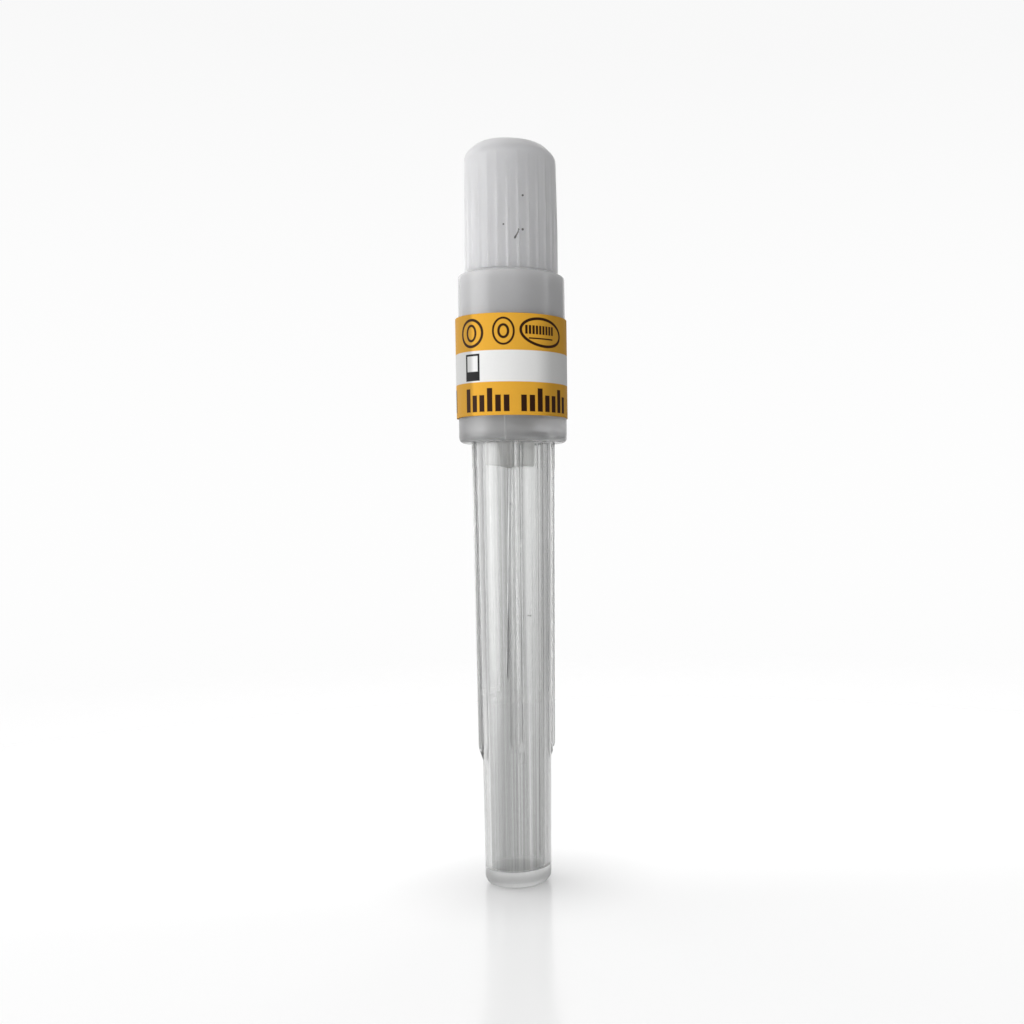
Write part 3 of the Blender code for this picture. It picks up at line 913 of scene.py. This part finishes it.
def stroke_row(nodes, along, up):
    """Two groups of upright strokes, every third one tall, on the lower amber band."""
    slot = (along - STROKES_START) / STROKE_PITCH
    index = slot.maths("FLOOR", slot)
    tall = 1.0 - nodes.step(index.maths("MODULO", index, 3.0), 0.4, 0.6)
    top = SHORT_TOP + TALL_MORE * tall
    stroke = nodes.between(slot - index, *STROKE_INK, soft=PRINT_EDGE)
    under = 1.0 - nodes.step(up - top, -PRINT_EDGE, PRINT_EDGE)
    over = nodes.step(up, STROKES_FOOT - PRINT_EDGE, STROKES_FOOT + PRINT_EDGE)
    groups = 0.0
    for first, last in STROKE_GROUPS:
        groups = groups + nodes.between(index, first - 0.5, last + 0.5, 0.1)
    return stroke * under * over * groups + bar(nodes, along, up, *WRAPPED_STROKE)


class AddSheath(bpy.types.Operator):
    """Mould the clear ribbed sheath with its collar and spigot"""

    bl_idname = "needle_case.add_sheath"
    bl_label = "Add sheath"

    def execute(self, context):
        size = context.scene.case_sheath
        look = context.scene.case_finishes

        def tube_radius(height):
            return on_line(size.foot_radius, size.top_radius, height / size.tube_length)

        def bore_radius(height):
            wall = on_line(size.foot_wall, size.top_wall, height / size.tube_length)
            return tube_radius(height) - wall

        def ribs(radius, height, angle):
            if height > size.tube_length + TINY or radius < tube_radius(height) - size.edge_break:
                return 0.0
            sector = math.tau / size.rib_count
            turned = angle - size.rib_phase + math.pi / 2
            aside = abs((turned + sector / 2) % sector - sector / 2) * size.top_radius
            rise = on_line(size.rib_foot_height, size.rib_top_height, height / size.tube_length)
            across = eased((size.rib_width / 2 + size.rib_round - aside) / (2 * size.rib_round))
            runout = min(1.0, max(0.0, (height - size.rib_start) / size.rib_runout + 1.0))
            fade = 1.0 - max(0.0, radius - tube_radius(height)) / (FADE_HEIGHTS * rise)
            return rise * across * runout * max(0.0, fade)

        joint = size.tube_length + size.collar_height
        chamber = size.spigot_radius - size.spigot_wall
        chamber_floor = size.tube_length + size.ledge
        mouth = chamber_floor - size.ledge_lead
        runout = size.rib_start - size.rib_runout
        runout_heights = [on_line(runout, size.rib_start, step / RUNOUT_STEPS)
                          for step in range(RUNOUT_STEPS + 1)]
        outline = rounded([
            (0.0, 0.0, 0),
            (size.foot_radius, 0.0, size.foot_round),
            *((tube_radius(height), height, 0) for height in runout_heights),
            (size.top_radius, size.tube_length, size.edge_break),
            (size.collar_radius, size.tube_length, size.collar_round),
            (size.collar_radius, joint, size.edge_break),
            (size.spigot_radius, joint, 0),
            (size.spigot_radius, size.rim_height, size.edge_break),
            (chamber, size.rim_height, size.edge_break),
            (chamber, chamber_floor, size.edge_break),
            (bore_radius(chamber_floor) + size.ledge_lead, chamber_floor, 0),
            (bore_radius(mouth), mouth, 0),
            (bore_radius(size.floor_thickness), size.floor_thickness, size.floor_round),
            (0.0, size.floor_thickness, 0),
        ])
        width = (size.rib_width + 2 * size.rib_round) / size.top_radius
        angles = featured_angles(size.rib_count, size.rib_phase, width, fine=18, coarse=24)
        mesh = lofted(ringed(outline), angles, ribs)
        skin = clear_plastic(look, size)
        finished(mesh, "clear_sheath", skin, "sheath", ["sheath"])
        return {"FINISHED"}


class AddCap(bpy.types.Operator):
    """Mould the white cap with its skirt and fluted grip"""

    bl_idname = "needle_case.add_cap"
    bl_label = "Add cap"

    def execute(self, context):
        size = context.scene.case_cap
        look = context.scene.case_finishes
        shoulder = size.top - size.grip_height
        grip_foot = shoulder + size.shoulder_rise
        ridge_end = size.top - size.top_round
        bore = size.skirt_radius - size.skirt_wall

        def grip_radius(height):
            part = (height - grip_foot) / (size.top - grip_foot)
            return on_line(size.grip_foot_radius, size.grip_top_radius, part)

        def ridges(radius, height, angle):
            if height < shoulder or radius < grip_radius(height) - size.edge_break:
                return 0.0
            sector = math.tau / size.ridge_count
            turned = angle - size.ridge_phase + math.pi / 2
            aside = abs((turned + sector / 2) % sector - sector / 2) * size.grip_foot_radius
            across = eased((size.ridge_width / 2 + size.ridge_round - aside)
                           / (2 * size.ridge_round))
            wedge = RIDGE_WEDGE * size.ridge_height
            rise = wedge * (ridge_end - height) / (ridge_end - grip_foot)
            depth = FADE_HEIGHTS * size.ridge_height
            fade = 1.0 - max(0.0, radius - size.grip_top_radius) / depth
            return max(0.0, min(rise, size.ridge_height)) * across * max(0.0, fade)

        slope_foot = size.top - size.slope_height
        outline = rounded([
            (0.0, size.top - size.top_thickness, 0),
            (size.grip_top_radius - size.grip_wall, size.top - size.top_thickness,
             size.top_round / 2),
            (size.grip_foot_radius - size.grip_wall, grip_foot, 0),
            (bore, shoulder - size.skirt_wall, 0),
            (bore, size.foot, size.edge_break),
            (size.skirt_radius, size.foot, size.edge_break),
            (size.skirt_radius - size.skirt_draft, shoulder, size.shoulder_round),
            (size.grip_foot_radius, grip_foot, size.edge_break),
            (size.grip_top_radius, slope_foot, size.top_round),
            (size.grip_top_radius - size.slope_width, size.top, size.top_round),
            (0.0, size.top, 0),
        ])
        width = (size.ridge_width + 2 * size.ridge_round) / size.grip_foot_radius
        angles = featured_angles(size.ridge_count, size.ridge_phase, width, fine=6, coarse=3)
        mesh = lofted(ringed(outline), angles, ridges)
        finished(mesh, "white_cap", white_plastic(look, size), "cap", ["cap"])
        return {"FINISHED"}


class AddLabel(bpy.types.Operator):
    """Wrap the printed seal once round the joint, its loose end over its start"""

    bl_idname = "needle_case.add_label"
    bl_label = "Add label"

    def execute(self, context):
        size = context.scene.case_label
        look = context.scene.case_finishes
        total = math.tau + size.overlap / size.radius
        mesh = bmesh.new()
        grid = []
        for column in range(LABEL_COLUMNS + 1):
            along = total * column / LABEL_COLUMNS
            angle = size.start - along
            lift = eased(1.0 + (along - math.tau) / size.rise)
            line = []
            for row in range(LABEL_ROWS + 1):
                up = row / LABEL_ROWS
                lifted = size.thickness + size.layer_gap + size.loose_top * up
                radius = size.radius + lift * lifted
                place = (radius * math.cos(angle), radius * math.sin(angle),
                         size.foot + size.height * up)
                line.append(mesh.verts.new(place))
            grid.append(line)
        for left, right in zip(grid, grid[1:]):
            for row in range(LABEL_ROWS):
                mesh.faces.new((left[row], left[row + 1], right[row + 1], right[row]))
        bmesh.ops.recalc_face_normals(mesh, faces=mesh.faces)

        def paper(holder):
            solid_paper = holder.modifiers.new("paper", "SOLIDIFY")
            solid_paper.thickness = size.thickness
            solid_paper.offset = 1.0

        data = evaluated(mesh, "seal_label", paper)
        dressed(data, "seal_label", label_paper(look, size), "sheath", ["label"])
        return {"FINISHED"}


def needle_axis(size):
    """Turns and lifts a piece from its own axis to its place in the leaning needle."""
    return Matrix.Translation((0, 0, size.seat)) @ Matrix.Rotation(size.lean, 4, "Y")


def fin_plates(size, root, foot, top):
    """The nose's fins as one object of plates with broken edges, from a root inside the nose."""
    plates = bmesh.new()
    for index in range(size.fin_count):
        place = Matrix.Rotation(math.tau * index / size.fin_count, 4, "Z")
        place @= Matrix.Translation(((root + size.fin_radius) / 2, 0, (top + foot) / 2))
        place @= Matrix.Diagonal((size.fin_radius - root, size.fin_thickness, top - foot, 1.0))
        bmesh.ops.create_cube(plates, size=1.0, matrix=place)
    bmesh.ops.bevel(plates, geom=plates.edges, offset=size.edge_break,
                    segments=FIN_EDGE_STEPS, profile=0.5, affect="EDGES")
    return linked(meshed(plates, "hub_fins"), "hub_fins")


class AddHub(bpy.types.Operator):
    """Mould the hub with its flange, threaded skirt, cone and finned nose"""

    bl_idname = "needle_case.add_hub"
    bl_label = "Add hub"

    def execute(self, context):
        size = context.scene.case_needle
        look = context.scene.case_finishes
        rear = size.flange_thickness
        skirt_end = rear - size.skirt_length
        cone_end = skirt_end - size.cone_length
        nose_end = rear - size.hub_length
        thread = size.skirt_radius - size.skirt_wall
        hole = size.cannula_radius + size.bond
        bead = size.nose_radius - size.nose_wall
        floor = skirt_end + size.floor_rise

        def thread_groove(radius, height, angle):
            inside = abs(radius - thread) < TINY
            if not inside or not floor < height < rear - size.thread_lead:
                return 0.0
            turns = height / size.thread_pitch - angle / math.tau
            wave = 0.5 - 0.5 * math.cos(turns * math.tau)
            ends = min(height - floor, rear - size.thread_lead - height) / size.thread_pitch
            return size.thread_depth * wave * eased(ends)

        outline = rounded([
            (thread + size.thread_lead, rear, 0),
            (size.flange_radius, rear, size.edge_break),
            (size.flange_radius, 0.0, size.edge_break),
            (size.skirt_radius, 0.0, 0),
            (size.skirt_radius, skirt_end, size.edge_break),
            (size.cone_radius, cone_end, 0),
            (size.nose_radius, nose_end, size.edge_break),
            (bead, nose_end, 0),
            (bead, nose_end + size.bead_depth, 0),
            (hole, nose_end + size.bead_depth, 0),
            (hole, floor, 0),
            (thread, floor, 0),
            (thread, rear - size.thread_lead, 0),
        ])
        rings = []
        for point in ringed(outline, closed=True):
            before = rings[-1] if rings else point
            on_thread = abs(point[0] - thread) < TINY and abs(before[0] - thread) < TINY
            if on_thread:
                rings += [(thread, on_line(before[1], point[1], step / THREAD_STEPS))
                          for step in range(1, THREAD_STEPS)]
            rings.append(point)
        mesh = lofted(rings, even_angles(HUB_SIDES), thread_groove, closed=True)
        bmesh.ops.recalc_face_normals(mesh, faces=mesh.faces)
        up_cone = (size.fin_radius - size.cone_radius) / (size.skirt_radius - size.cone_radius)
        fin_top = on_line(cone_end, skirt_end, up_cone) + size.edge_break
        fin_foot = nose_end + size.edge_break
        fins = fin_plates(size, (size.nose_radius + bead) / 2, fin_foot, fin_top)

        def join_fins(holder):
            union = holder.modifiers.new("fins", "BOOLEAN")
            union.operation = "UNION"
            union.solver = "EXACT"
            union.object = fins

        data = evaluated(mesh, "threaded_hub", join_fins)
        bpy.data.objects.remove(fins)
        data.transform(needle_axis(size))
        dressed(data, "threaded_hub", natural_plastic(look), "needle", ["hub"])
        return {"FINISHED"}


class AddCannula(bpy.types.Operator):
    """Draw the steel cannula, ground to a slant at both ends"""

    bl_idname = "needle_case.add_cannula"
    bl_label = "Add cannula"

    def execute(self, context):
        size = context.scene.case_needle
        look = context.scene.case_finishes
        tip = size.flange_thickness - size.hub_length - size.cannula_reach
        rear = size.flange_thickness + size.rear_reach
        bore = size.cannula_radius - size.cannula_wall
        outline = [(bore, rear), (size.cannula_radius, rear), (size.cannula_radius, tip),
                   (bore, tip)]
        mesh = lofted(ringed(outline, closed=True), even_angles(CANNULA_SIDES), closed=True)
        middle = (tip + rear) / 2
        ground = 3 * HOLD
        for vert in mesh.verts:
            inset = size.cannula_radius - vert.co.x
            if vert.co.z - tip < ground:
                vert.co.z += inset / math.tan(size.tip_bevel)
            elif rear - vert.co.z < ground and vert.co.z > middle:
                vert.co.z -= inset / math.tan(size.rear_bevel)
        bmesh.ops.transform(mesh, matrix=needle_axis(size), verts=mesh.verts)
        finished(mesh, "steel_cannula", cannula_steel(look), "needle", ["cannula"])
        return {"FINISHED"}


class AddAdhesive(bpy.types.Operator):
    """Set the bead that bonds the cannula in the hub's nose"""

    bl_idname = "needle_case.add_adhesive"
    bl_label = "Add adhesive bead"

    def execute(self, context):
        size = context.scene.case_needle
        look = context.scene.case_finishes
        nose_end = size.flange_thickness - size.hub_length
        inner = size.cannula_radius + size.bond
        outer = size.nose_radius - size.nose_wall - size.bond
        top = nose_end + size.bead_depth - size.bond
        dome = []
        for step in range(DOME_STEPS + 1):
            part = step / DOME_STEPS
            dome.append((on_line(outer, inner, part),
                         nose_end - size.bead_dome * math.sin(part * math.pi / 2)))
        outline = [(inner, top), (outer, top)] + dome
        mesh = lofted(ringed(outline, closed=True), even_angles(BEAD_SIDES), closed=True)
        bmesh.ops.transform(mesh, matrix=needle_axis(size), verts=mesh.verts)
        finished(mesh, "bond_bead", cured_adhesive(look), "needle", ["adhesive"])
        return {"FINISHED"}


# Softness of a light's edges: as a turn, and in the sine of its height
TURN_EDGE = math.radians(8.0)
RISE_EDGE = 0.06
FILL_RISE_EDGE = 0.2

# The white surroundings lose this much of the sine of the height squared, up to the limit
SURROUNDINGS_FALL = 0.35
SURROUNDINGS_LIMIT = 0.12


def make_world(size):
    """White surroundings for the eye, and a dimmer room with one bright panel for the light."""
    world = bpy.data.worlds.new("studio")
    bpy.context.scene.world = world
    nodes = Nodes(world)
    x, y, z = nodes.split(nodes.place("Generated"))
    rays = nodes.add("ShaderNodeLightPath", {}, {}).outputs
    fall = z * z
    fall = fall.maths("MINIMUM", fall, SURROUNDINGS_LIMIT)
    seen = size.surroundings - SURROUNDINGS_FALL * fall
    behind = abs(x.maths("ARCTAN2", x, y))
    front = x.maths("ARCTAN2", x, 0.0 - y)

    def below(turned, limit, soft=TURN_EDGE):
        """One where a turn stays below a limit, with a soft edge."""
        return 1.0 - nodes.step(turned, limit - soft, limit + soft)

    def level(rise, soft=RISE_EDGE):
        """One between a rise below eye level and the same above."""
        return nodes.between(z, -rise, rise, soft)

    backdrop = below(behind, size.backdrop_half)
    panel = below(abs(front - size.panel_turn), size.panel_half) * level(size.panel_rise)
    through = Field(nodes, rays["Is Transmission Ray"])
    scattered = Field(nodes, rays["Is Diffuse Ray"])
    beam = size.panel * (1.0 - (1.0 - size.panel_spread) * scattered)
    panel_end = size.panel_turn - size.panel_half
    beyond = below(front, panel_end)
    room = size.room + through * (size.room_through - size.room)
    room = room + (size.room_left - room) * beyond * (1.0 - through)
    strip = below(abs(front - size.strip_turn), size.strip_half, TURN_EDGE / 2)
    strip = strip * level(size.strip_rise)
    fill = below(abs(front - size.fill_turn), size.fill_half, TURN_EDGE * 2)
    fill = size.fill * fill * level(size.fill_rise, FILL_RISE_EDGE)
    lit = room + (seen - room) * backdrop + panel * beam + strip * size.strip + fill
    eye = Field(nodes, rays["Is Camera Ray"])
    strength = eye * seen + (1.0 - eye) * lit
    grey = nodes.add("ShaderNodeCombineColor", {}, {0: strength, 1: strength, 2: strength})
    background = nodes.add("ShaderNodeBackground", {}, {0: grey.outputs[0], 1: 1.0})
    nodes.output(background.outputs[0], "ShaderNodeOutputWorld")


# Distances on the floor, from start to end: from the middle out, where the floor fades away and
# where the glow is full past a painted contact shadow, and from the front back, where the glow
# rises and where it falls
FLOOR_FADE = (40.0 * MM, 200.0 * MM)
GLOW_FULL = (-2.0 * MM, 16.0 * MM)
GLOW_RISE = (-12.0 * MM, 12.0 * MM)
GLOW_FALL = (0.0, 100.0 * MM)

# How much the glow rises and falls, and the share of it that is left at the case's foot, as a
# painted contact shadow
GLOW_MORE = 0.06
GLOW_LESS = 0.08
GLOW_IN_PAINTED_SHADOW = 0.35

FLOOR_IOR = 1.75
FLOOR_SINK = 0.02 * MM


def make_floor(size):
    """A pale, slightly glossy floor that fades into the white surroundings."""
    skin = bpy.data.materials.new("studio_floor")
    nodes = Nodes(skin)
    x, y, _ = nodes.split(nodes.place())
    rays = nodes.add("ShaderNodeLightPath", {}, {}).outputs
    scattered = Field(nodes, rays["Is Diffuse Ray"])
    away = (x * x + y * y) ** 0.5
    fade = nodes.step(away, *FLOOR_FADE)
    glow = size.floor_glow + GLOW_MORE * nodes.step(y, *GLOW_RISE)
    glow = glow - GLOW_LESS * nodes.step(y, *GLOW_FALL)
    # Painted contact shadow: less glow close to the case's foot
    glow = glow * (GLOW_IN_PAINTED_SHADOW + (1.0 - GLOW_IN_PAINTED_SHADOW) * nodes.step(away, *GLOW_FULL))
    lit = nodes.add("ShaderNodeBsdfPrincipled", {}, {
        "Base Color": solid(size.floor_colour),
        "Roughness": size.floor_dull,
        "IOR": FLOOR_IOR,
    })
    light = nodes.add("ShaderNodeEmission", {}, {0: nodes.mix(glow, BLACK, WHITE), 1: 1.0})
    raised = nodes.add("ShaderNodeAddShader", {}, {0: lit.outputs[0], 1: light.outputs[0]})
    seen = nodes.add("ShaderNodeMixShader", {},
                     {0: scattered, 1: raised.outputs[0], 2: lit.outputs[0]})
    clear = nodes.add("ShaderNodeBsdfTransparent", {}, {})
    faded = nodes.add("ShaderNodeMixShader", {}, {0: fade, 1: seen.outputs[0], 2: clear.outputs[0]})
    nodes.output(faded.outputs[0])
    mesh = bmesh.new()
    bmesh.ops.create_circle(mesh, cap_ends=True, segments=FLOOR_SIDES, radius=size.floor_radius)
    floor = linked(meshed(mesh, "studio_floor"), "studio_floor")
    floor.data.materials.append(skin)
    floor.location.z = -FLOOR_SINK


CLIP_START = 5.0 * MM


def make_camera(size):
    """The camera at the photo's viewing angle."""
    data = bpy.data.cameras.new("studio_camera")
    data.lens = size.lens
    data.clip_start = CLIP_START
    camera = linked(data, "studio_camera")
    camera.location = (-size.aside, -size.distance, size.eye_height)
    camera.rotation_euler = (math.pi / 2, size.roll, -size.yaw)
    data.shift_x = -math.tan(size.yaw) * data.lens / data.sensor_width
    data.shift_y = data.shift_x * math.tan(size.roll)
    bpy.context.scene.camera = camera


class AddStage(bpy.types.Operator):
    """Set up the camera, the floor and the light"""

    bl_idname = "needle_case.add_stage"
    bl_label = "Add stage"

    def execute(self, context):
        size = context.scene.case_stage
        make_world(size)
        make_floor(size)
        make_camera(size)
        context.scene.view_settings.view_transform = "Standard"
        return {"FINISHED"}


OPERATORS = (AddSheath, AddCap, AddLabel, AddHub, AddCannula, AddAdhesive, AddStage)
GROUPS = {
    "case_sheath": SheathSizes,
    "case_cap": CapSizes,
    "case_label": LabelSizes,
    "case_needle": NeedleSizes,
    "case_finishes": Finishes,
    "case_stage": StageSizes,
}


class NeedleCasePanel(bpy.types.Panel):
    """Builds the case piece by piece and lists what can be changed"""

    bl_idname = "VIEW3D_PT_needle_case"
    bl_label = "Needle case"
    bl_space_type = "VIEW_3D"
    bl_region_type = "UI"
    bl_category = "Needle case"

    def draw(self, context):
        for operator in OPERATORS:
            self.layout.operator(operator.bl_idname)
        for name, kind in GROUPS.items():
            box = self.layout.box()
            box.label(text=kind.__doc__)
            for key in kind.__annotations__:
                box.prop(getattr(context.scene, name), key)


def register():
    """Register the classes and hang the groups on the scene."""
    for one in (*GROUPS.values(), *OPERATORS, NeedleCasePanel):
        bpy.utils.register_class(one)
    for name, group in GROUPS.items():
        setattr(bpy.types.Scene, name, bpy.props.PointerProperty(type=group))


def unregister():
    """Take the groups off the scene and unregister the classes."""
    for name in GROUPS:
        delattr(bpy.types.Scene, name)
    for one in (NeedleCasePanel, *reversed(OPERATORS), *reversed(tuple(GROUPS.values()))):
        bpy.utils.unregister_class(one)


def main():
    """Build the case and its stage."""
    register()
    bpy.ops.needle_case.add_sheath()
    bpy.ops.needle_case.add_cap()
    bpy.ops.needle_case.add_label()
    bpy.ops.needle_case.add_hub()
    bpy.ops.needle_case.add_cannula()
    bpy.ops.needle_case.add_adhesive()
    bpy.ops.needle_case.add_stage()


if __name__ == "__main__":
    main()
